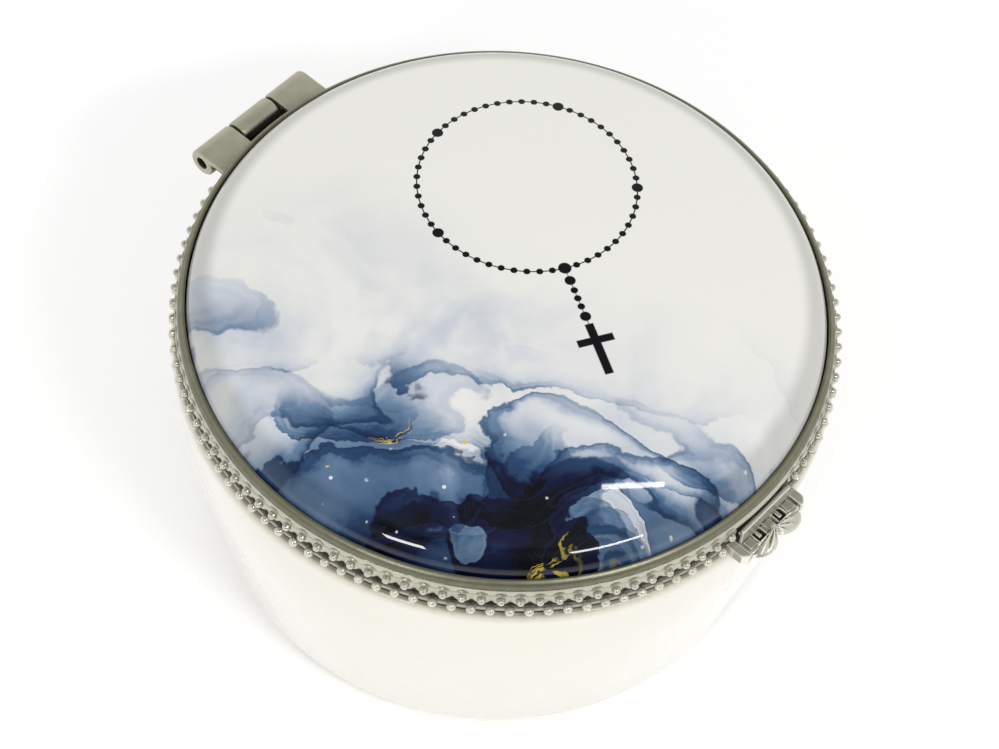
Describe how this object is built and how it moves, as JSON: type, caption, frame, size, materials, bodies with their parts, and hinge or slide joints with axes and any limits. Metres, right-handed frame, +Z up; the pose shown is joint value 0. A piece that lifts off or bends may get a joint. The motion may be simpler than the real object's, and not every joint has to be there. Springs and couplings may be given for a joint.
{
  "type": "rosary box",
  "caption": "Round porcelain keepsake box for a rosary, with a printed, slightly domed lid in a beaded metal mount, a hinge at the back and a shell-shaped thumb clasp at the front.",
  "frame": {"origin": "middle of the foot, on the surface that the box stands on", "axes": "+Z up through the middle of the lid, +Y towards the hinge, -Y towards the clasp, +X to the right seen from the clasp"},
  "size_m": [0.072, 0.0784, 0.0419],
  "materials": {
    "porcelain": "glossy",
    "printed_porcelain": "glossy",
    "nickel_silver": "polished",
    "cement": "matt"
  },
  "bodies": {
    "cup": {"cup": "porcelain", "cup_cement": "cement", "cup_collar": "nickel_silver", "cup_bead_row": "nickel_silver", "catch_plate": "nickel_silver", "cup_knuckle": "nickel_silver"},
    "lid": {"lid_dome": "printed_porcelain", "lid_cement": "cement", "lid_collar": "nickel_silver", "lid_bezel": "nickel_silver", "lid_bead_row": "nickel_silver", "lid_knuckle_left": "nickel_silver", "lid_knuckle_right": "nickel_silver", "hinge_pin": "nickel_silver", "lid_clasp": "nickel_silver"}
  },
  "joints": [
    {"name": "lid_hinge", "type": "hinge", "parent": "cup", "child": "lid", "pos_m": [0, 0.0379, 0.03505], "axis": [-1, 0, 0], "range_deg": [0, 100]}
  ]
}
